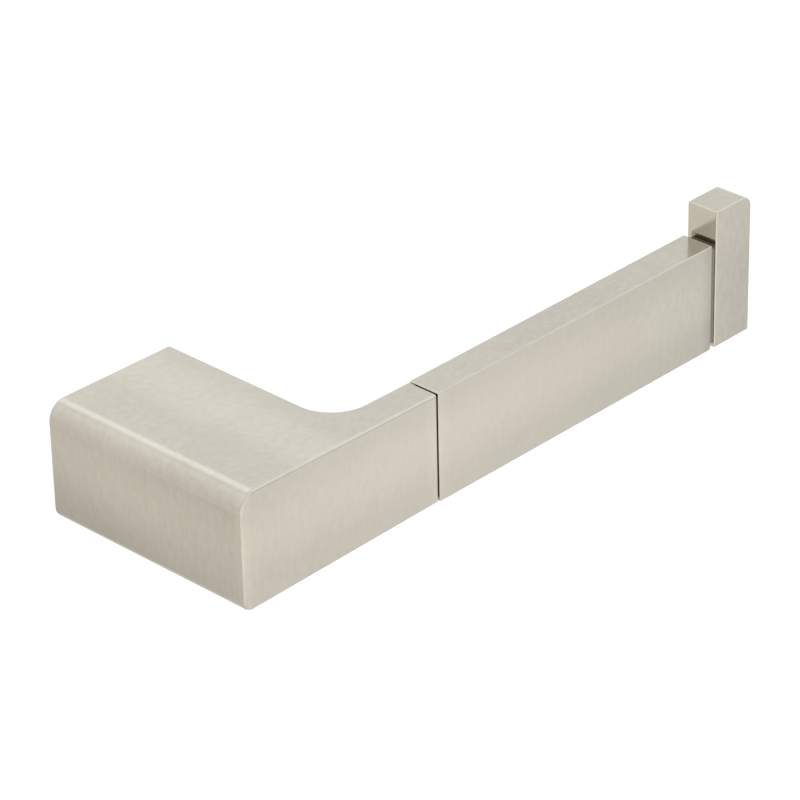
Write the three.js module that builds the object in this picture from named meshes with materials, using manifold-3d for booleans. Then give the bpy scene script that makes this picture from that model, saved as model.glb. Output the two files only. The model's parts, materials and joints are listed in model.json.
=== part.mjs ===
// A single-post toilet paper holder in satin nickel, in millimetres.
// +X runs along the roll bar, +Y points into the wall and +Z is up.
// The origin is the centre of the base's back, on the wall's surface.

import * as THREE from 'three';
import { mergeVertices } from 'three/addons/utils/BufferGeometryUtils.js';
import Module from 'manifold-3d';

const wasm = await Module();
wasm.setup();

// Driving dimensions
const REACH = 63;                 // wall to the front face
const BAR_HEIGHT = 29;            // height of the arm and of the roll bar
const BAR_THICKNESS = 9.2;
const BLOCK_WIDTH = 38.8;
const BLOCK_HEIGHT = 30.7;        // the casting is a little taller at its free end
const BLOCK_TOP_RADIUS = 5;       // round edge along the free end's top
const BLOCK_FOOT_RADIUS = 3;      // and along its bottom
const SWEEP_RADIUS = 10;          // hollow curve from the block into the arm
const ARM_LENGTH = 63.3;          // block's free end to the shadow seam
const SEAM = 0.6;
const BAR_LENGTH = 98;
const BAR_WALL = 1.2;
const STOP_GAP = 1.4;
const STOP_WIDTH = 13.2;
const STOP_HEIGHT = 37.6;
const STOP_TOP_RADIUS = 3;        // round edge along the end stop's top, at its free end
const CASTING_WALL = 3;
const FRONT_WALL = 3.5;
const ROD_DIAMETER = 4;
const ROD_IN_ARM = 18;
const ROD_IN_STOP = 8;
const BEARING_RADIUS = 2.6;       // outside of the nylon sleeves that run on the rod
const RUNNING_CLEARANCE = 0.05;   // on the radius, between the rod and the sleeves
const FIT = 0.15;                 // gap between pieces that are fixed to each other
const CUT = 1;                    // how far a cutter reaches past the face it opens
const ROUND = 48;                 // facets round a small circle

// Places that follow from them
const LEFT = -BLOCK_WIDTH / 2;
const FRONT = -REACH;
const ARM_BACK = FRONT + BAR_THICKNESS;
const ROD_Y = FRONT + BAR_THICKNESS / 2;
const BOTTOM = -BAR_HEIGHT / 2;
const SEAM_X = LEFT + ARM_LENGTH;
const BAR_START = SEAM_X + SEAM;
const BAR_END = BAR_START + BAR_LENGTH;
const STOP_START = BAR_END + STOP_GAP;
const STOP_END = STOP_START + STOP_WIDTH;
const ROD_START = SEAM_X - ROD_IN_ARM;
const ROD_END = STOP_START + ROD_IN_STOP;
const ROD_HOLE = ROD_DIAMETER / 2 + FIT;

const FINISHES = {
  satin_nickel: { color: 0xcbc6bb, roughness: 0.32, metalness: 1 },
  dark_nylon: { color: 0x3d382c, roughness: 0.6, metalness: 0 },
  grey_nylon: { color: 0x7e7768, roughness: 0.6, metalness: 0 },
  natural_nylon: { color: 0xdedbd0, roughness: 0.55, metalness: 0 },
  zinc_plated_steel: { color: 0xb6bac0, roughness: 0.4, metalness: 1 },
  black_steel: { color: 0x2b2b2d, roughness: 0.5, metalness: 1 },
};

// Turns a three.js geometry into a manifold solid.
function solid(geometry) {
  const bare = geometry.clone();
  bare.deleteAttribute('normal');
  bare.deleteAttribute('uv');
  const merged = mergeVertices(bare, 1e-4);
  return new wasm.Manifold(new wasm.Mesh({
    numProp: 3,
    vertProperties: new Float32Array(merged.attributes.position.array),
    triVerts: new Uint32Array(merged.index.array),
  }));
}

// Turns a manifold solid into a named mesh with its finish.
function piece(name, finish, shape) {
  const result = shape.getMesh();
  const geometry = new THREE.BufferGeometry();
  geometry.setAttribute('position', new THREE.BufferAttribute(result.vertProperties, 3));
  geometry.setIndex(new THREE.BufferAttribute(result.triVerts, 1));
  geometry.computeVertexNormals();
  const mesh = new THREE.Mesh(geometry, new THREE.MeshStandardMaterial(FINISHES[finish]));
  mesh.name = name;
  return mesh;
}

function box(low, high) {
  const size = high.map((value, i) => value - low[i]);
  const middle = high.map((value, i) => (value + low[i]) / 2);
  return solid(new THREE.BoxGeometry(...size).translate(...middle));
}

// Round bar of a given radius from one end point to the other.
function rod(radius, from, to) {
  const start = new THREE.Vector3(...from);
  const along = new THREE.Vector3(...to).sub(start);
  const geometry = new THREE.CylinderGeometry(radius, radius, along.length(), ROUND);
  const turn = new THREE.Quaternion().setFromUnitVectors(new THREE.Vector3(0, 1, 0),
    along.clone().normalize());
  geometry.applyQuaternion(turn);
  geometry.translate(...start.addScaledVector(along, 0.5).toArray());
  return solid(geometry);
}

// Cutter along the rod's axis, open at both ends.
function rodBore(radius, from, to) {
  return rod(radius, [from - CUT, ROD_Y, 0], [to + CUT, ROD_Y, 0]);
}

// Ring round the rod's axis.
function ring(outerRadius, innerRadius, from, to) {
  return rod(outerRadius, [from, ROD_Y, 0], [to, ROD_Y, 0])
    .subtract(rodBore(innerRadius, from, to));
}

// Outline seen from above, extruded between two heights.
function fromPlan(shape, low, high) {
  const geometry = new THREE.ExtrudeGeometry(shape, {
    depth: high - low, bevelEnabled: false, curveSegments: 24,
  });
  return solid(geometry.translate(0, 0, low));
}

// Outline in X and Z, extruded from the front to the back.
function fromFront(shape, front, back) {
  const geometry = new THREE.ExtrudeGeometry(shape, {
    depth: back - front, bevelEnabled: false, curveSegments: 24,
  });
  return solid(geometry.rotateX(Math.PI / 2).translate(0, back, 0));
}

// Outline in Y and Z, extruded along the arm. Shape's own X is the object's Y.
function fromEnd(shape, start, end) {
  const geometry = new THREE.ExtrudeGeometry(shape, {
    depth: end - start, bevelEnabled: false, curveSegments: 24,
  });
  const turn = new THREE.Matrix4().set(0, 0, 1, start, 1, 0, 0, 0, 0, 1, 0, 0, 0, 0, 0, 1);
  return solid(geometry.applyMatrix4(turn));
}

function roundedRectangle(left, bottom, right, top, radius) {
  const shape = new THREE.Shape();
  shape.absarc(right - radius, top - radius, radius, 0, Math.PI / 2);
  shape.absarc(left + radius, top - radius, radius, Math.PI / 2, Math.PI);
  shape.absarc(left + radius, bottom + radius, radius, Math.PI, Math.PI * 1.5);
  shape.absarc(right - radius, bottom + radius, radius, Math.PI * 1.5, Math.PI * 2);
  shape.closePath();
  return shape;
}

// Block and arm from above, with the hollow curve between them.
function basePlan() {
  const blockRight = LEFT + BLOCK_WIDTH;
  const shape = new THREE.Shape();
  shape.moveTo(LEFT, FRONT);
  shape.lineTo(SEAM_X, FRONT);
  shape.lineTo(SEAM_X, ARM_BACK);
  shape.absarc(blockRight + SWEEP_RADIUS, ARM_BACK + SWEEP_RADIUS, SWEEP_RADIUS,
    Math.PI * 1.5, Math.PI, true);
  shape.lineTo(blockRight, 0);
  shape.lineTo(LEFT, 0);
  shape.closePath();
  return shape;
}

// Block and arm from the front: round edges at the free end, a slight taper to the seam.
function baseElevation() {
  const r = BLOCK_TOP_RADIUS;
  const foot = BLOCK_FOOT_RADIUS;
  const top = BLOCK_HEIGHT / 2;
  const shape = new THREE.Shape();
  shape.moveTo(SEAM_X, BOTTOM);
  shape.lineTo(SEAM_X, -BOTTOM);
  shape.absarc(LEFT + r, top - r, r, Math.PI / 2, Math.PI);
  shape.absarc(LEFT + foot, foot - top, foot, Math.PI, Math.PI * 1.5);
  shape.closePath();
  return shape;
}

// Mounting pocket in the block, open to the wall.
const POCKET = { halfHeight: 11.6, radius: 1.5 };

const SET_SCREW = { radius: 2, x: 0, y: -8, tip: -9.5, head: -14.2, socket: 2 };
const LOCK_SCREW = { radius: 1.5, length: 3, tip: ROD_Y + ROD_HOLE, socket: 1.5 };
const ARM_LOCK_X = SEAM_X - 9;
const STOP_LOCK_X = STOP_START + STOP_WIDTH / 2 - 2;

// Threaded hole for a lock screw, from the rod to the wall side of the arm or the end stop.
function lockBore(x) {
  return rod(LOCK_SCREW.radius + FIT, [x, ROD_Y, 0], [x, ARM_BACK + CUT, 0]);
}

function baseBody() {
  const outside = fromPlan(basePlan(), -BLOCK_HEIGHT, BLOCK_HEIGHT)
    .intersect(fromFront(baseElevation(), FRONT - CUT, CUT));
  const pocket = fromEnd(
    roundedRectangle(FRONT + FRONT_WALL, -POCKET.halfHeight, POCKET.radius + CUT,
      POCKET.halfHeight, POCKET.radius),
    LEFT + CASTING_WALL, LEFT + BLOCK_WIDTH - CASTING_WALL);
  const setBore = rod(SET_SCREW.radius + FIT, [SET_SCREW.x, SET_SCREW.y, -BLOCK_HEIGHT],
    [SET_SCREW.x, SET_SCREW.y, 0]);
  return outside.subtract(pocket)
    .subtract(rodBore(ROD_HOLE, ROD_START, SEAM_X))
    .subtract(lockBore(ARM_LOCK_X))
    .subtract(setBore);
}

// Screwed to the wall; the base slides over it and the set screw clamps it from below.
const BRACKET = {
  halfWidth: 15, thickness: 2.5, lip: 12.5, lipThickness: 2.4, top: 11.2, under: -9.2,
  screwSpacing: 18, screwRadius: 2.25, screwHeight: 1,
};

function wallBracket() {
  const { halfWidth: w, thickness: t, lip, lipThickness, top, under } = BRACKET;
  const { screwSpacing, screwRadius, screwHeight: z } = BRACKET;
  let bracket = box([-w, -t, under], [w, 0, top])
    .add(box([-w, -lip, top - lipThickness], [w, 0, top]))
    .add(box([-w, -lip, under], [w, 0, under + lipThickness]));
  for (const side of [-1, 1]) {
    const x = side * screwSpacing / 2;
    const sink = new THREE.CylinderGeometry(screwRadius * 2, screwRadius, screwRadius, ROUND);
    bracket = bracket
      .subtract(rod(screwRadius, [x, -t - CUT, z], [x, CUT, z]))
      .subtract(solid(sink.rotateX(Math.PI).translate(x, screwRadius / 2 - t, z)));
  }
  return bracket;
}

// Headless screw with a hexagonal socket in its outer end.
function grubScrew(radius, tip, outer, socketAcross) {
  const way = new THREE.Vector3(...tip).sub(new THREE.Vector3(...outer)).normalize();
  const bottom = new THREE.Vector3(...outer).addScaledVector(way, radius * 1.1);
  const mouth = new THREE.Vector3(...outer).addScaledVector(way, -CUT);
  const depth = mouth.distanceTo(bottom);
  const corner = socketAcross / Math.sqrt(3);
  const socket = new THREE.CylinderGeometry(corner, corner, depth, 6);
  socket.applyQuaternion(new THREE.Quaternion().setFromUnitVectors(new THREE.Vector3(0, 1, 0), way));
  socket.translate(...mouth.addScaledVector(way, depth / 2).toArray());
  return rod(radius, tip, outer).subtract(solid(socket));
}

function setScrew() {
  const { radius, x, y, tip, head, socket } = SET_SCREW;
  return grubScrew(radius, [x, y, tip], [x, y, head], socket);
}

function lockScrew(x) {
  const { radius, length, tip, socket } = LOCK_SCREW;
  return grubScrew(radius, [x, tip, 0], [x, tip + length, 0], socket);
}

// Steel rod that carries the bar and the end stop.
function tieRod() {
  return rod(ROD_DIAMETER / 2, [ROD_START, ROD_Y, 0], [ROD_END, ROD_Y, 0]);
}

// The tube's bore and the plugs' outside, a given distance inside the bar's faces.
function barSection(inset, radius) {
  return roundedRectangle(FRONT + inset, BOTTOM + inset, ARM_BACK - inset, -BOTTOM - inset, radius);
}

// Nylon plates at the bar's two ends, set back from its faces to leave shadow lines.
const SPACER = { inset: 0.35, rise: 1.15, radius: 0.8 };
const SEATED = FIT / 3;           // gap between a spacer and the piece that it is fixed to

function spacer(start, end) {
  const { inset, rise, radius } = SPACER;
  const section = roundedRectangle(FRONT + inset, BOTTOM + rise, ARM_BACK - inset, -BOTTOM - rise,
    radius);
  return fromEnd(section, start, end).subtract(rodBore(ROD_HOLE, start, end));
}

const PLUG = { length: 12, inset: 0.2, radius: 0.6 };

// Rectangular tube that the paper roll hangs on.
function rollBar() {
  return box([BAR_START, FRONT, BOTTOM], [BAR_END, ARM_BACK, -BOTTOM])
    .subtract(fromEnd(barSection(BAR_WALL, PLUG.radius), BAR_START - CUT, BAR_END + CUT));
}

// Metal plug that closes one end of the tube and holds its bearing.
function endPlug(start) {
  return fromEnd(barSection(BAR_WALL + FIT, PLUG.radius), start, start + PLUG.length)
    .subtract(rodBore(BEARING_RADIUS + FIT / 2, start, start + PLUG.length));
}

// Nylon sleeve in a plug that runs on the rod.
function bearing(start) {
  return ring(BEARING_RADIUS, ROD_DIAMETER / 2 + RUNNING_CLEARANCE, start, start + PLUG.length);
}

function endStop() {
  const r = STOP_TOP_RADIUS;
  const top = BOTTOM + STOP_HEIGHT;
  const elevation = new THREE.Shape();
  elevation.moveTo(STOP_START, BOTTOM);
  elevation.lineTo(STOP_END, BOTTOM);
  elevation.absarc(STOP_END - r, top - r, r, 0, Math.PI / 2);
  elevation.lineTo(STOP_START, top);
  elevation.closePath();
  return fromFront(elevation, FRONT, ARM_BACK)
    .subtract(rodBore(ROD_HOLE, STOP_START, ROD_END))
    .subtract(lockBore(STOP_LOCK_X));
}

const INNER_PLUG = BAR_START + PLUG.inset;
const OUTER_PLUG = BAR_END - PLUG.inset - PLUG.length;

const holder = new THREE.Group();
holder.add(
  piece('base_body', 'satin_nickel', baseBody()),
  piece('wall_bracket', 'zinc_plated_steel', wallBracket()),
  piece('set_screw', 'black_steel', setScrew()),
  piece('tie_rod', 'zinc_plated_steel', tieRod()),
  piece('arm_lock_screw', 'black_steel', lockScrew(ARM_LOCK_X)),
  piece('seam_spacer', 'dark_nylon', spacer(SEAM_X + SEATED, BAR_START - FIT)),
  piece('roll_bar', 'satin_nickel', rollBar()),
  piece('inner_end_plug', 'satin_nickel', endPlug(INNER_PLUG)),
  piece('outer_end_plug', 'satin_nickel', endPlug(OUTER_PLUG)),
  piece('inner_bearing', 'natural_nylon', bearing(INNER_PLUG)),
  piece('outer_bearing', 'natural_nylon', bearing(OUTER_PLUG)),
  piece('stop_spacer', 'grey_nylon', spacer(BAR_END + FIT, STOP_START - SEATED)),
  piece('end_stop', 'satin_nickel', endStop()),
  piece('stop_lock_screw', 'black_steel', lockScrew(STOP_LOCK_X)),
);

export default holder;
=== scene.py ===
# A single-post toilet paper holder in satin nickel, lit as a studio product shot.
# Everything is in metres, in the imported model's frame: +X along the roll bar,
# +Y into the wall, +Z up, with the origin on the wall behind the base.
import json
import math

import bmesh
import bpy
from mathutils import Matrix, Vector


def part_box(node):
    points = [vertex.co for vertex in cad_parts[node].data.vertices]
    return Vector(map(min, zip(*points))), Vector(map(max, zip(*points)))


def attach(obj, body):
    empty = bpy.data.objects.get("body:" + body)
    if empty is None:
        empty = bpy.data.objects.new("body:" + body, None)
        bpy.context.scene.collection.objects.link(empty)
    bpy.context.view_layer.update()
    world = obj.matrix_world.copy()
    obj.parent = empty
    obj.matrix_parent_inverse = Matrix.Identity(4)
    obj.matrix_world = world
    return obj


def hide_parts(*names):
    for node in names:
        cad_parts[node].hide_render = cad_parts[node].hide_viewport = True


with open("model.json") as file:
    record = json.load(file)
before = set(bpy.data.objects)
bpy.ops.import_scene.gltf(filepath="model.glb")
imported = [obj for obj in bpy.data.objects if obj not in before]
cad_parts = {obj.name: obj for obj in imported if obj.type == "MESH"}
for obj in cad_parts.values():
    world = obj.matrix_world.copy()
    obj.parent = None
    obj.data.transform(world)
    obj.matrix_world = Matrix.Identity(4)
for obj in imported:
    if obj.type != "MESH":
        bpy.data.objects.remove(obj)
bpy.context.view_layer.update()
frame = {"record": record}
MM = 0.001

# Places of the CAD's pieces
BASE_LOW, BASE_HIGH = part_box("base_body")
BAR_LOW, BAR_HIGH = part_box("roll_bar")
STOP_LOW, STOP_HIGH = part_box("end_stop")
ROD_LOW, ROD_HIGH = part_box("tie_rod")
ROD_RADIUS = (ROD_HIGH.z - ROD_LOW.z) / 2
ROD_Y = (ROD_LOW.y + ROD_HIGH.y) / 2
SEAM_MIDDLE = (BASE_HIGH.x + BAR_LOW.x) / 2
GAP_MIDDLE = (BAR_HIGH.x + STOP_LOW.x) / 2

# Sizes of the CAD that its boxes don't give
BLOCK_WIDTH = 38.8 * MM
BLOCK_TOP_RADIUS = 5 * MM
BLOCK_FOOT_RADIUS = 3 * MM
SWEEP_RADIUS = 10 * MM
STOP_TOP_RADIUS = 3 * MM
CASTING_WALL = 3 * MM
FRONT_WALL = 3.5 * MM
POCKET_HALF_HEIGHT = 11.6 * MM
POCKET_RADIUS = 1.5 * MM
BAR_WALL = 1.2 * MM
PLUG_RADIUS = 0.6 * MM
SPACER_RADIUS = 0.8 * MM
BRACKET_STEEL = 2.5 * MM
BRACKET_LIP = 2.4 * MM
BRACKET_SCREW_SPACING = 18 * MM
BRACKET_SCREW_HEIGHT = 1 * MM
BRACKET_SCREW_RADIUS = 2.25 * MM
THREAD_GAP = 0.15 * MM         # between a screw or the rod and its plain bore
RUNNING_GAP = 0.05 * MM        # between the rod and the sleeves that run on it

# Sizes of the finish only
BLOCK_EDGE = 0.9 * MM          # softened edges of the polished castings
BAR_EDGE = 0.4 * MM
SMALL_EDGE = 0.15 * MM
SPACER_EDGE = 0.1 * MM
CRISP_EDGE = 0.35 * MM         # where a casting or the tube is cut off square at a seam
HOLE_CHAMFER = 0.25 * MM
SMALL_CHAMFER = 0.1 * MM
COUNTERSINK = BRACKET_SCREW_RADIUS * 0.9
SLEEVE_GAP = 0.07 * MM         # between a sleeve and its plug
OVER = 1 * MM                  # how far a cutter reaches past the face it opens
TINY = 1e-6                    # places closer than this are the same place


# ---------------------------------------------------------------- materials

def node_tools(tree):
    """Short ways to add and to join a tree's nodes."""
    def add(kind, **settings):
        node = tree.nodes.new(kind)
        for key, value in settings.items():
            setattr(node, key, value)
        return node

    return add, tree.links.new


def new_material(name):
    """A material with its Principled shader and the tools for its nodes."""
    material = bpy.data.materials.new(name)
    material.use_nodes = True
    tree = material.node_tree
    return material, tree.nodes["Principled BSDF"], *node_tools(tree)


def noise(add, join, vector, scale, detail, roughness):
    """Noise whose scale differs by axis, so that a low scale along one axis makes grain."""
    mapping = add("ShaderNodeMapping")
    mapping.inputs["Scale"].default_value = scale
    texture = add("ShaderNodeTexNoise")
    texture.inputs["Scale"].default_value = 1.0
    texture.inputs["Detail"].default_value = detail
    texture.inputs["Roughness"].default_value = roughness
    join(vector, mapping.inputs["Vector"])
    join(mapping.outputs["Vector"], texture.inputs["Vector"])
    return texture.outputs["Fac"]


def remap(add, join, value, source, target, easing="LINEAR"):
    node = add("ShaderNodeMapRange", interpolation_type=easing)
    node.inputs["From Min"].default_value, node.inputs["From Max"].default_value = source
    node.inputs["To Min"].default_value, node.inputs["To Max"].default_value = target
    join(value, node.inputs["Value"])
    return node.outputs["Result"]


def worked(add, join, operation, *values):
    """A Math node on sockets and numbers."""
    node = add("ShaderNodeMath", operation=operation)
    for value, socket in zip(values, node.inputs):
        if isinstance(value, float):
            socket.default_value = value
        else:
            join(value, socket)
    return node.outputs[0]


def blended(add, join, factor, one, two):
    """Goes over from one value to another as the factor rises. The factor can be a number."""
    node = add("ShaderNodeMix", data_type="FLOAT")
    for value, socket in ((factor, "Factor"), (one, "A"), (two, "B")):
        if isinstance(value, float):
            node.inputs[socket].default_value = value
        else:
            join(value, node.inputs[socket])
    return node.outputs["Result"]


def split(add, join, vector):
    node = add("ShaderNodeSeparateXYZ")
    join(vector, node.inputs["Vector"])
    return node.outputs


def tinted(add, join, factor, dark, light, socket):
    tint = add("ShaderNodeMix", data_type="RGBA")
    tint.inputs["A"].default_value = (*dark, 1)
    tint.inputs["B"].default_value = (*light, 1)
    join(factor, tint.inputs["Factor"])
    join(tint.outputs["Result"], socket)


def bumped(add, join, height, strength, distance, socket):
    bump = add("ShaderNodeBump")
    bump.inputs["Strength"].default_value = strength
    bump.inputs["Distance"].default_value = distance
    join(height, bump.inputs["Height"])
    join(bump.outputs["Normal"], socket)


def painted_sheen(add, join, place):
    """Painted sheen and shade: how bright the plating's colour is painted to stand in for
    reflections, brighter in the middle of the upright faces and darker towards their edges,
    at the free end's foot by the wall, by the bar's cut end and on both sides of a band on
    the block's top; painted highlights at the front corner and beside the seam."""
    facing = split(add, join, place.outputs["Normal"])
    spot = split(add, join, place.outputs["Object"])

    def work(operation, *values):
        return worked(add, join, operation, *values)

    def band(value, source, target):
        return remap(add, join, value, source, target, "SMOOTHSTEP")

    def away(value, middle):
        return work("ABSOLUTE", work("SUBTRACT", value, middle))

    # Painted sheen: the upright faces are painted brighter in the middle and darker towards their
    # edges, with painted shade by the bar's cut end.
    before_stop = work("LESS_THAN", spot["X"], GAP_MIDDLE)
    middle = band(away(spot["Z"], 2 * MM), (1 * MM, 13 * MM), (0.055, -0.04))
    face = work("MULTIPLY_ADD", middle, before_stop, 1.03)
    painted_cut_end_shade = work("MULTIPLY", before_stop,
                   band(spot["X"], (BAR_HIGH.x - 4.5 * MM, BAR_HIGH.x), (0, 0.16)))

    # Painted highlights at the block's front corner, beside the seam and at the end face's front
    # corner, and painted shade at the free end's foot by the wall.
    corner = band(spot["X"], (BASE_LOW.x + 0.4 * MM, BASE_LOW.x + 3.9 * MM), (0.07, 0))
    painted_seam_highlight = band(away(spot["X"], SEAM_MIDDLE), (0.3 * MM, 5 * MM), (0.05, 0))
    painted_end_corner_highlight = band(spot["Y"], (BASE_LOW.y + 0.5 * MM, BASE_LOW.y + 3 * MM), (0.06, 0))
    painted_foot_shade = band(work("MULTIPLY_ADD", spot["Y"], -0.25, spot["Z"]), (-14 * MM, 9 * MM),
                    (0.18, 0.015))
    faces_end = band(work("ABSOLUTE", facing["X"]), (0.6, 0.8), (0, 1))
    painted_edge_light_and_shade = blended(add, join, faces_end, work("ADD", corner, painted_seam_highlight),
                   work("SUBTRACT", painted_end_corner_highlight, painted_foot_shade))
    upright_painted_sheen = work("ADD", work("SUBTRACT", face, painted_cut_end_shade), painted_edge_light_and_shade)

    # Painted sheen on the top faces: a brighter band, with painted shade on both sides of it.
    top_painted_sheen = band(away(spot["X"], 6 * MM), (2 * MM, 12 * MM), (1.055, 0.972))
    faces_up = band(facing["Z"], (0.8, 0.95), (0, 1))
    return blended(add, join, faces_up, upright_painted_sheen, top_painted_sheen)


def satin_nickel():
    """Plated castings brushed over a belt: upright on the front and back, and round the
    block from its free end over the top, so that the grain there never runs along Y."""
    material, shader, add, join = new_material("satin_nickel")
    place = add("ShaderNodeTexCoord")
    depthwise = worked(add, join, "ABSOLUTE", split(add, join, place.outputs["Normal"])["Y"])
    faces_front = remap(add, join, depthwise, (0.66, 0.74), (0, 1))

    round_block, up_front = ((560, 700, 300), (700, 300, 300))
    hairline = blended(add, join, faces_front,
                       noise(add, join, place.outputs["Object"], round_block, 2, 0.6),
                       noise(add, join, place.outputs["Object"], up_front, 2, 0.6))
    cloud = noise(add, join, place.outputs["Object"], (40, 40, 40), 2, 0.5)
    mottle = blended(add, join, 0.45, hairline, cloud)

    # The plating's own colour, scaled by the painted sheen and shade.
    plating_and_painted_sheen = add("ShaderNodeVectorMath", operation="SCALE")
    tinted(add, join, remap(add, join, mottle, (0.3, 0.7), (0, 1)),
           (0.515, 0.48, 0.415), (0.585, 0.548, 0.479), plating_and_painted_sheen.inputs[0])
    join(painted_sheen(add, join, place), plating_and_painted_sheen.inputs["Scale"])
    join(plating_and_painted_sheen.outputs["Vector"], shader.inputs["Base Color"])
    shader.inputs["Metallic"].default_value = 1

    join(worked(add, join, "ADD", remap(add, join, hairline, (0.3, 0.7), (0.12, 0.16)),
                remap(add, join, cloud, (0.3, 0.7), (-0.015, 0.015))),
         shader.inputs["Roughness"])
    bumped(add, join, hairline, 0.1, 0.003 * MM, shader.inputs["Normal"])

    across = add("ShaderNodeMix", data_type="VECTOR")
    across.inputs["A"].default_value = (0, 1, 0)
    across.inputs["B"].default_value = (1, 0, 0)
    join(faces_front, across.inputs["Factor"])
    to_world = add("ShaderNodeVectorTransform", vector_type="VECTOR",
                   convert_from="OBJECT", convert_to="WORLD")
    join(across.outputs["Result"], to_world.inputs["Vector"])
    join(to_world.outputs["Vector"], shader.inputs["Tangent"])
    shader.inputs["Anisotropic"].default_value = 0.6
    return material


def moulded_nylon(name, dark, light):
    """Injection-moulded nylon with a faint spark-eroded texture."""
    material, shader, add, join = new_material(name)
    place = add("ShaderNodeTexCoord").outputs["Object"]
    speckle = noise(add, join, place, (3000, 3000, 3000), 2, 0.6)
    cloud = noise(add, join, place, (150, 150, 150), 2, 0.5)
    tinted(add, join, cloud, dark, light, shader.inputs["Base Color"])
    join(remap(add, join, speckle, (0.3, 0.7), (0.5, 0.68)), shader.inputs["Roughness"])
    bumped(add, join, speckle, 0.2, 0.02 * MM, shader.inputs["Normal"])
    return material


def plated_steel(name, dark, light, roughness):
    """Turned or stamped steel with mottled plating."""
    material, shader, add, join = new_material(name)
    place = add("ShaderNodeTexCoord").outputs["Object"]
    speckle = noise(add, join, place, (2500, 2500, 2500), 3, 0.6)
    cloud = noise(add, join, place, (220, 220, 220), 3, 0.55)
    tinted(add, join, cloud, dark, light, shader.inputs["Base Color"])
    shader.inputs["Metallic"].default_value = 1
    join(remap(add, join, cloud, (0.3, 0.7), roughness), shader.inputs["Roughness"])
    bumped(add, join, speckle, 0.15, 0.01 * MM, shader.inputs["Normal"])
    return material


FINISHES = {
    "satin_nickel": satin_nickel(),
    "dark_nylon": moulded_nylon("dark_nylon", (0.048, 0.04, 0.026), (0.064, 0.054, 0.035)),
    "grey_nylon": moulded_nylon("grey_nylon", (0.18, 0.16, 0.115), (0.23, 0.205, 0.15)),
    "natural_nylon": moulded_nylon("natural_nylon", (0.62, 0.59, 0.51), (0.75, 0.72, 0.64)),
    "zinc_plated_steel": plated_steel("zinc_plated_steel", (0.42, 0.44, 0.47),
                                      (0.58, 0.6, 0.63), (0.26, 0.42)),
    "black_steel": plated_steel("black_steel", (0.012, 0.012, 0.013),
                                (0.035, 0.035, 0.037), (0.35, 0.55)),
}


# ------------------------------------------------------------ mesh building

def object_from(name, shape):
    mesh = bpy.data.meshes.new(name)
    shape.to_mesh(mesh)
    shape.free()
    made = bpy.data.objects.new(name, mesh)
    bpy.context.scene.collection.objects.link(made)
    return made


def arc(centre, radius, start, end, steps):
    """Points of an arc with both its ends, angles in degrees."""
    angles = [math.radians(start + (end - start) * i / steps) for i in range(steps + 1)]
    return [(centre[0] + radius * math.cos(a), centre[1] + radius * math.sin(a)) for a in angles]


def rounded_rectangle(low, high, radius, steps=6):
    """Outline between two corners, anticlockwise."""
    (left, bottom), (right, top) = low, high
    corners = (((right - radius, top - radius), 0), ((left + radius, top - radius), 90),
               ((left + radius, bottom + radius), 180), ((right - radius, bottom + radius), 270))
    return [p for centre, turn in corners for p in arc(centre, radius, turn, turn + 90, steps)]


def prism(outline, low, high, place):
    """Solid over an outline. place(u, v, w) turns outline point and height into a point,
    and low and high are heights, each a function of the outline point."""
    shape = bmesh.new()
    bottom = [shape.verts.new(place(u, v, low(u, v))) for u, v in outline]
    top = [shape.verts.new(place(u, v, high(u, v))) for u, v in outline]
    shape.faces.new(reversed(bottom))
    shape.faces.new(top)
    for i, below in enumerate(bottom):
        j = (i + 1) % len(outline)
        shape.faces.new((below, bottom[j], top[j], top[i]))
    bmesh.ops.recalc_face_normals(shape, faces=shape.faces)
    return shape


def upright(outline, low, high):
    """Prism over an outline in X and Y, between two heights."""
    return prism(outline, lambda u, v: low, lambda u, v: high, lambda u, v, w: (u, v, w))


def lengthwise(outline, start, end):
    """Prism over an outline in Y and Z, along the bar."""
    return prism(outline, lambda u, v: start, lambda u, v: end, lambda u, v, w: (w, u, v))


def round_edges(shape, wanted, radius, segments):
    """Rounds the edges that pass the test, which gets an edge's two end points."""
    edges = [e for e in shape.edges if wanted(e.verts[0].co, e.verts[1].co)]
    bmesh.ops.bevel(shape, geom=edges, offset=radius, segments=segments, profile=0.5,
                    affect="EDGES", clamp_overlap=False)


def turned(name, profile, foot, way, closed=False, steps=64):
    """Turns a profile of (radius, distance) points round an axis that starts at foot and
    runs along way. An open profile starts and ends on the axis; a closed one is a ring."""
    turn = Vector((0, 0, 1)).rotation_difference(Vector(way)).to_matrix()
    shape = bmesh.new()
    rings = []
    for radius, distance in profile:
        if radius < TINY:
            rings.append([shape.verts.new(turn @ Vector((0, 0, distance)) + Vector(foot))])
            continue
        angles = [2 * math.pi * i / steps for i in range(steps)]
        rings.append([shape.verts.new(turn @ Vector((radius * math.cos(a), radius * math.sin(a),
                                                     distance)) + Vector(foot)) for a in angles])
    pairs = list(zip(rings, rings[1:]))
    if closed:
        pairs.append((rings[-1], rings[0]))
    for one, two in pairs:
        for i in range(steps):
            j = (i + 1) % steps
            if len(one) == 1:
                shape.faces.new((one[0], two[i], two[j]))
            elif len(two) == 1:
                shape.faces.new((one[i], one[j], two[0]))
            else:
                shape.faces.new((one[i], one[j], two[j], two[i]))
    bmesh.ops.recalc_face_normals(shape, faces=shape.faces)
    return object_from(name, shape)


def drill(foot, way, radius, depth, chamfer=HOLE_CHAMFER):
    """Cutter for a round hole from its mouth, foot, inwards along way."""
    profile = [(0, -OVER), (radius + chamfer, -OVER), (radius + chamfer, 0), (radius, chamfer),
               (radius, depth), (0, depth)]
    return turned("drill", profile, foot, way)


def apply_modifiers(piece):
    graph = bpy.context.evaluated_depsgraph_get()
    mesh = bpy.data.meshes.new_from_object(piece.evaluated_get(graph))
    piece.modifiers.clear()
    piece.data = mesh


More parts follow.
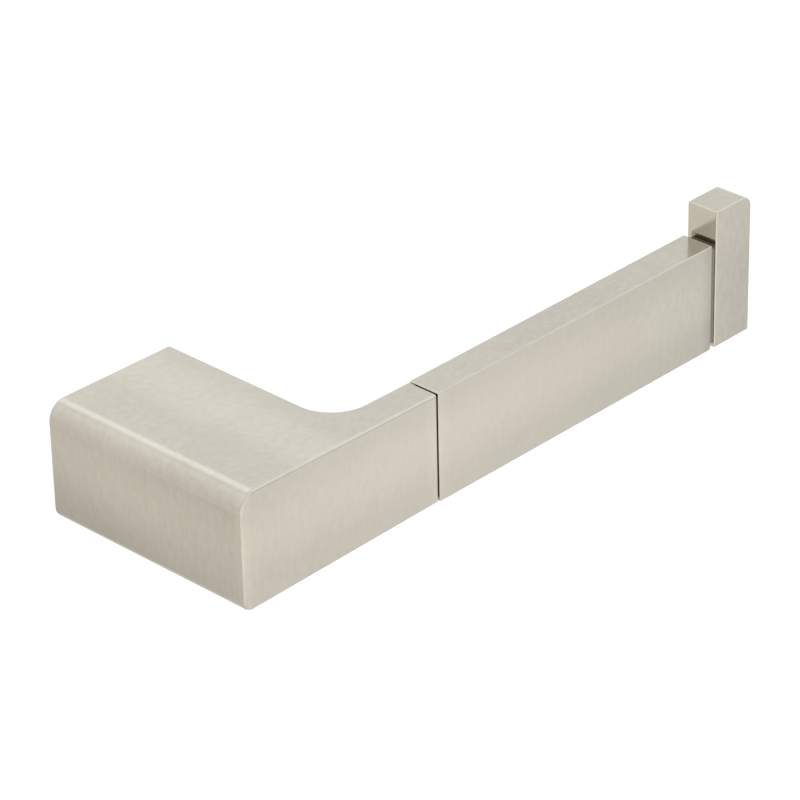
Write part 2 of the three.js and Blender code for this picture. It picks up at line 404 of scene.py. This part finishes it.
def weigh_edges(mesh, crisp, share):
    """Marks a mesh's corners for the edge softening, with a share of it on crisp corners."""
    shape = bmesh.new()
    shape.from_mesh(mesh)
    weight = shape.edges.layers.float.new("bevel_weight_edge")
    for edge in shape.edges:
        if edge.calc_face_angle() > math.radians(40):
            one, two = (vert.co for vert in edge.verts)
            edge[weight] = share if crisp(one) and crisp(two) else 1
    shape.to_mesh(mesh)
    shape.free()


def finished(piece, edge, cutters=(), crisp=lambda point: False):
    """Softens the edges, less so on the crisp ones, cuts the holes, and keeps flat faces
    flat next to round edges."""
    if edge:
        weigh_edges(piece.data, crisp, CRISP_EDGE / edge)
        bevel = piece.modifiers.new("edges", "BEVEL")
        bevel.width = edge
        bevel.segments = 4
        bevel.limit_method = "WEIGHT"
    for cutter in cutters:
        hole = piece.modifiers.new("hole", "BOOLEAN")
        hole.operation = "DIFFERENCE"
        hole.solver = "EXACT"
        hole.object = cutter
    apply_modifiers(piece)
    for cutter in cutters:
        bpy.data.objects.remove(cutter)
    for polygon in piece.data.polygons:
        polygon.use_smooth = True
    piece.data.set_sharp_from_angle(angle=math.radians(38))
    normals = piece.modifiers.new("normals", "WEIGHTED_NORMAL")
    normals.weight = 90
    normals.keep_sharp = True
    apply_modifiers(piece)
    return piece


def stand_for(piece, node, slot):
    """A finished piece takes a CAD node's place, body and material slot."""
    bodies = frame["record"]["behaviour"]["bodies"]
    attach(piece, next(body for body, nodes in bodies.items() if node in nodes))
    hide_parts(node)
    piece.data.materials.clear()
    piece.data.materials.append(FINISHES[slot])


# ---------------------------------------------------------------- the pieces

def on_rod(x):
    return (x, ROD_Y, 0)


def base_body():
    low, high = BASE_LOW, BASE_HIGH
    seam, back, front = high.x, high.y, low.y
    right = low.x + BLOCK_WIDTH
    sweep = arc((right + SWEEP_RADIUS, BAR_HIGH.y + SWEEP_RADIUS), SWEEP_RADIUS, 270, 180, 32)
    outline = [(low.x, front), (seam, front), (seam, BAR_HIGH.y), *sweep, (right, back),
               (low.x, back)]

    def top(x, _):
        return high.z + (BAR_HIGH.z - high.z) * (x - low.x) / (seam - low.x)

    shape = prism(outline, lambda x, y: -top(x, y), top, lambda x, y, z: (x, y, z))
    for side, radius in ((1, BLOCK_TOP_RADIUS), (-1, BLOCK_FOOT_RADIUS)):
        round_edges(shape, lambda a, b: max(a.x, b.x) < low.x + TINY
                    and min(a.z * side, b.z * side) > high.z - TINY, radius, 20)
    body = object_from("base_casting", shape)

    pocket = lengthwise(rounded_rectangle((front + FRONT_WALL, -POCKET_HALF_HEIGHT),
                                          (back + POCKET_RADIUS + OVER, POCKET_HALF_HEIGHT),
                                          POCKET_RADIUS),
                        low.x + CASTING_WALL, right - CASTING_WALL)
    lock_low, lock_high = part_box("arm_lock_screw")
    set_low, set_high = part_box("set_screw")
    lock = (lock_low + lock_high) / 2
    screw = (set_low + set_high) / 2
    cutters = (
        object_from("pocket", pocket),
        drill(on_rod(seam), (-1, 0, 0), ROD_RADIUS + THREAD_GAP, seam - ROD_LOW.x + OVER,
              SMALL_CHAMFER),
        drill((lock.x, BAR_HIGH.y, 0), (0, -1, 0), (lock_high.x - lock_low.x) / 2 + THREAD_GAP,
              BAR_HIGH.y - ROD_Y),
        drill((screw.x, screw.y, -top(screw.x, 0)), (0, 0, 1),
              (set_high.x - set_low.x) / 2 + THREAD_GAP,
              top(screw.x, 0) - POCKET_HALF_HEIGHT + OVER),
    )
    return finished(body, BLOCK_EDGE, cutters, lambda point: point.x > seam - TINY)


def roll_bar():
    low, high = BAR_LOW, BAR_HIGH
    outline = ((low.y, low.z), (high.y, low.z), (high.y, high.z), (low.y, high.z))
    bar = object_from("bar_tube", lengthwise(outline, low.x, high.x))
    inside = rounded_rectangle((low.y + BAR_WALL, low.z + BAR_WALL),
                               (high.y - BAR_WALL, high.z - BAR_WALL), PLUG_RADIUS)
    bore = object_from("inside", lengthwise(inside, low.x - OVER, high.x + OVER))
    return finished(bar, BAR_EDGE, [bore], lambda point: point.x > high.x - TINY)


def end_plug(node):
    low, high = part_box(node)
    outline = rounded_rectangle((low.y, low.z), (high.y, high.z), PLUG_RADIUS)
    bearing_low, bearing_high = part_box("inner_bearing")
    radius = (bearing_high.z - bearing_low.z) / 2 + SLEEVE_GAP
    plug = object_from(node.replace("end_plug", "plug"), lengthwise(outline, low.x, high.x))
    bore = drill(on_rod(low.x), (1, 0, 0), radius, high.x - low.x + OVER, chamfer=0.05 * MM)
    return finished(plug, SMALL_EDGE, [bore])


def sleeve(node):
    """Ring on the rod's axis with chamfered rims, filling a CAD node's box."""
    low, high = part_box(node)
    bore = ROD_RADIUS + RUNNING_GAP
    chamfer = 0.15 * MM
    outside = (high.z - low.z) / 2
    length = high.x - low.x
    profile = [(bore, chamfer), (bore + chamfer, 0), (outside - chamfer, 0), (outside, chamfer),
               (outside, length - chamfer), (outside - chamfer, length), (bore + chamfer, length),
               (bore, length - chamfer)]
    return finished(turned(node.replace("bearing", "sleeve"), profile, on_rod(low.x), (1, 0, 0),
                           closed=True), 0)


def spacer(node):
    low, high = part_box(node)
    outline = rounded_rectangle((low.y, low.z), (high.y, high.z), SPACER_RADIUS)
    plate = object_from(node.replace("spacer", "plate"), lengthwise(outline, low.x, high.x))
    bore = drill(on_rod(low.x), (1, 0, 0), ROD_RADIUS + THREAD_GAP, high.x - low.x + OVER,
                 chamfer=0.02 * MM)
    return finished(plate, SPACER_EDGE, [bore])


def end_stop():
    low, high = STOP_LOW, STOP_HIGH
    outline = ((low.x, low.y), (high.x, low.y), (high.x, high.y), (low.x, high.y))
    shape = upright(outline, low.z, high.z)
    round_edges(shape, lambda a, b: min(a.x, b.x) > high.x - TINY
                and min(a.z, b.z) > high.z - TINY, STOP_TOP_RADIUS, 14)
    stop = object_from("stop_casting", shape)
    lock_low, lock_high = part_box("stop_lock_screw")
    lock_x = (lock_low.x + lock_high.x) / 2
    cutters = (
        drill(on_rod(low.x), (1, 0, 0), ROD_RADIUS + THREAD_GAP, ROD_HIGH.x - low.x + OVER,
              SMALL_CHAMFER),
        drill((lock_x, high.y, 0), (0, -1, 0), (lock_high.x - lock_low.x) / 2 + THREAD_GAP,
              high.y - ROD_Y),
    )
    return finished(stop, BAR_EDGE, cutters)


def threads(radius, start, end, pitch):
    """Profile of a thread as a row of V-shaped ridges."""
    depth = pitch * 0.5
    count = int((end - start) / pitch)
    points = []
    for i in range(count):
        points += [(radius - depth, start + i * pitch), (radius, start + (i + 0.5) * pitch)]
    return points


def hex_cutter(foot, way, across, depth):
    """Cutter for a hexagonal socket, from its mouth inwards."""
    corner = across / math.sqrt(3)
    profile = [(0, -OVER), (corner, -OVER), (corner, depth), (0, depth + across * 0.2)]
    return turned("socket", profile, foot, way, steps=6)


def grub_screw(name, foot, way, radius, length, pitch, socket):
    """Headless threaded screw, with its socket at foot and its chamfered tip inwards."""
    chamfer = pitch * 0.5
    profile = [(0, 0), (radius - chamfer, 0),
               *threads(radius, chamfer * 0.6, length - chamfer, pitch),
               (radius - chamfer, length - chamfer * 0.5), (radius - 2 * chamfer, length),
               (0, length)]
    screw = turned(name, profile, foot, way)
    return finished(screw, 0, [hex_cutter(foot, way, socket, radius * 1.1)])


def set_screw():
    low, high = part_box("set_screw")
    middle = (low + high) / 2
    return grub_screw("clamp_screw", (middle.x, middle.y, low.z), (0, 0, 1),
                      (high.x - low.x) / 2, high.z - low.z, pitch=0.7 * MM, socket=2 * MM)


def lock_screw(node):
    low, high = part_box(node)
    return grub_screw(node.replace("lock_screw", "grub_screw"), ((low.x + high.x) / 2, high.y, 0),
                      (0, -1, 0), (high.x - low.x) / 2, high.y - low.y, pitch=0.5 * MM,
                      socket=1.5 * MM)


def tie_rod():
    """Plain in the middle, threaded where it screws into the arm, chamfered at both ends."""
    length = ROD_HIGH.x - ROD_LOW.x
    chamfer = 0.4 * MM
    thread_end = 15 * MM
    plain_start = 16 * MM
    profile = [(0, 0), (ROD_RADIUS - chamfer, 0),
               *threads(ROD_RADIUS, chamfer, thread_end, pitch=0.7 * MM),
               (ROD_RADIUS, plain_start), (ROD_RADIUS, length - chamfer),
               (ROD_RADIUS - chamfer, length), (0, length)]
    return finished(turned("threaded_rod", profile, on_rod(ROD_LOW.x), (1, 0, 0)), 0)


def wall_bracket():
    """Steel strip bent into two lips that face forwards, with two countersunk holes."""
    low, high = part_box("wall_bracket")
    steel, bend = BRACKET_STEEL, 1 * MM
    lip = high.z - BRACKET_LIP
    outline = [(high.y, low.z + bend * 2), (high.y, high.z - bend * 2),
               *arc((high.y - 2 * bend, high.z - 2 * bend), 2 * bend, 0, 90, 6),
               (low.y, high.z), (low.y, lip), (high.y - steel - bend, lip),
               *arc((high.y - steel - bend, lip - bend), bend, 90, 0, 6),
               *arc((high.y - steel - bend, low.z + high.z - lip + bend), bend, 0, -90, 6),
               (low.y, low.z + high.z - lip), (low.y, low.z),
               *arc((high.y - 2 * bend, low.z + 2 * bend), 2 * bend, 270, 360, 6)[:-1]]
    bracket = object_from("bracket", lengthwise(outline, low.x, high.x))
    cutters = [drill((side * BRACKET_SCREW_SPACING / 2, -steel, BRACKET_SCREW_HEIGHT), (0, 1, 0),
                     BRACKET_SCREW_RADIUS, steel + OVER, COUNTERSINK) for side in (-1, 1)]
    return finished(bracket, SMALL_EDGE, cutters)


SLOTS = {row["node"]: row["material_slot"] for row in frame["record"]["subparts"]}
PIECES = {
    "base_body": base_body(),
    "wall_bracket": wall_bracket(),
    "set_screw": set_screw(),
    "tie_rod": tie_rod(),
    "arm_lock_screw": lock_screw("arm_lock_screw"),
    "seam_spacer": spacer("seam_spacer"),
    "roll_bar": roll_bar(),
    "inner_end_plug": end_plug("inner_end_plug"),
    "outer_end_plug": end_plug("outer_end_plug"),
    "inner_bearing": sleeve("inner_bearing"),
    "outer_bearing": sleeve("outer_bearing"),
    "stop_spacer": spacer("stop_spacer"),
    "end_stop": end_stop(),
    "stop_lock_screw": lock_screw("stop_lock_screw"),
}
for node, piece in PIECES.items():
    stand_for(piece, node, SLOTS[node])


# ------------------------------------------------------------- light, camera

def floor():
    """Pale floor well below the holder, which hangs on a wall."""
    half_width, drop = 6, 0.7
    shape = bmesh.new()
    bmesh.ops.create_grid(shape, x_segments=1, y_segments=1, size=half_width)
    plane = object_from("floor", shape)
    plane.location = (0, 0, -drop)
    plane.visible_glossy = False
    material, shader, _, _ = new_material("floor")
    shader.inputs["Base Color"].default_value = (0.92, 0.92, 0.92, 1)
    shader.inputs["Roughness"].default_value = 0.9
    plane.data.materials.append(material)


def studio():
    """Pale room that gets brighter from left to right, and warmer low down and on the left,
    with patches of more and less light where the faces and the edges mirror them."""
    world = bpy.data.worlds.new("studio")
    world.use_nodes = True
    add, join = node_tools(world.node_tree)
    way = add("ShaderNodeTexCoord").outputs["Generated"]

    def towards(direction, source, target, easing="SMOOTHSTEP"):
        """A value that goes over from one target to the other as the way nears direction."""
        dot = add("ShaderNodeVectorMath", operation="DOT_PRODUCT")
        dot.inputs[1].default_value = Vector(direction).normalized()
        join(way, dot.inputs[0])
        return remap(add, join, dot.outputs["Value"], source, target, easing)

    strength = towards((0.94, -0.32, 0.1), (-1, 1), (0.942, 1.225), "LINEAR")
    for direction, rim, change in (
            ((-0.35, 0.6, 0.7), (0.45, 0.95), 0.09),       # glow behind on the left, high up
            ((0, 0, -1), (0.44, 0.56), -0.14),             # dim below
            ((0.85, -0.35, -0.4), (0.953, 0.968), -0.4),   # dark screen on the right, low down
            ((-0.45, -0.75, -0.5), (0.8, 0.97), 0.22),     # lamp in front on the left, low down
            ((0.62, -0.78, 0), (0.93, 0.99), -0.3),        # dark screen in front on the right
            ((0.62, -0.35, 0.7), (0.9, 0.99), 0.1),        # glow on the right, high up
            ((0.8, 0.47, 0.37), (0.95, 0.985), -0.14),     # dim patch behind on the right
            ((0.28, 0.64, 0.72), (0.95, 1), 0.3)):         # lamp behind, high up, which draws
                                                           # a line on the block's round edge
        strength = worked(add, join, "ADD", strength, towards(direction, rim, (0, change)))

    background = world.node_tree.nodes["Background"]
    tinted(add, join, towards((0.55, 0, 0.84), (-0.77, 0.15), (0, 1), "LINEAR"),
           (1, 0.974, 0.93), (1, 1.01, 1.015), background.inputs["Color"])
    join(strength, background.inputs["Strength"])
    bpy.context.scene.world = world


def camera():
    data = bpy.data.cameras.new("camera")
    data.lens = 185.137
    data.sensor_width = 36
    data.dof.use_dof = False
    data.clip_start, data.clip_end = 0.05, 20
    cam = bpy.data.objects.new("camera", data)
    azimuth, elevation, roll = (math.radians(d) for d in (-45.825, 29.497, -1.301))
    aim = Vector((63.84, -31.89, -7.07)) * MM
    distance = 0.9845
    back = Vector((math.sin(azimuth) * math.cos(elevation),
                   -math.cos(azimuth) * math.cos(elevation), math.sin(elevation)))
    level = (-back).to_track_quat("-Z", "Y").to_matrix().to_4x4()
    cam.matrix_world = (Matrix.Translation(aim + back * distance) @ level
                        @ Matrix.Rotation(roll, 4, "Z"))
    bpy.context.scene.collection.objects.link(cam)
    bpy.context.scene.camera = cam


floor()
studio()
camera()
bpy.context.scene.view_settings.view_transform = "Standard"
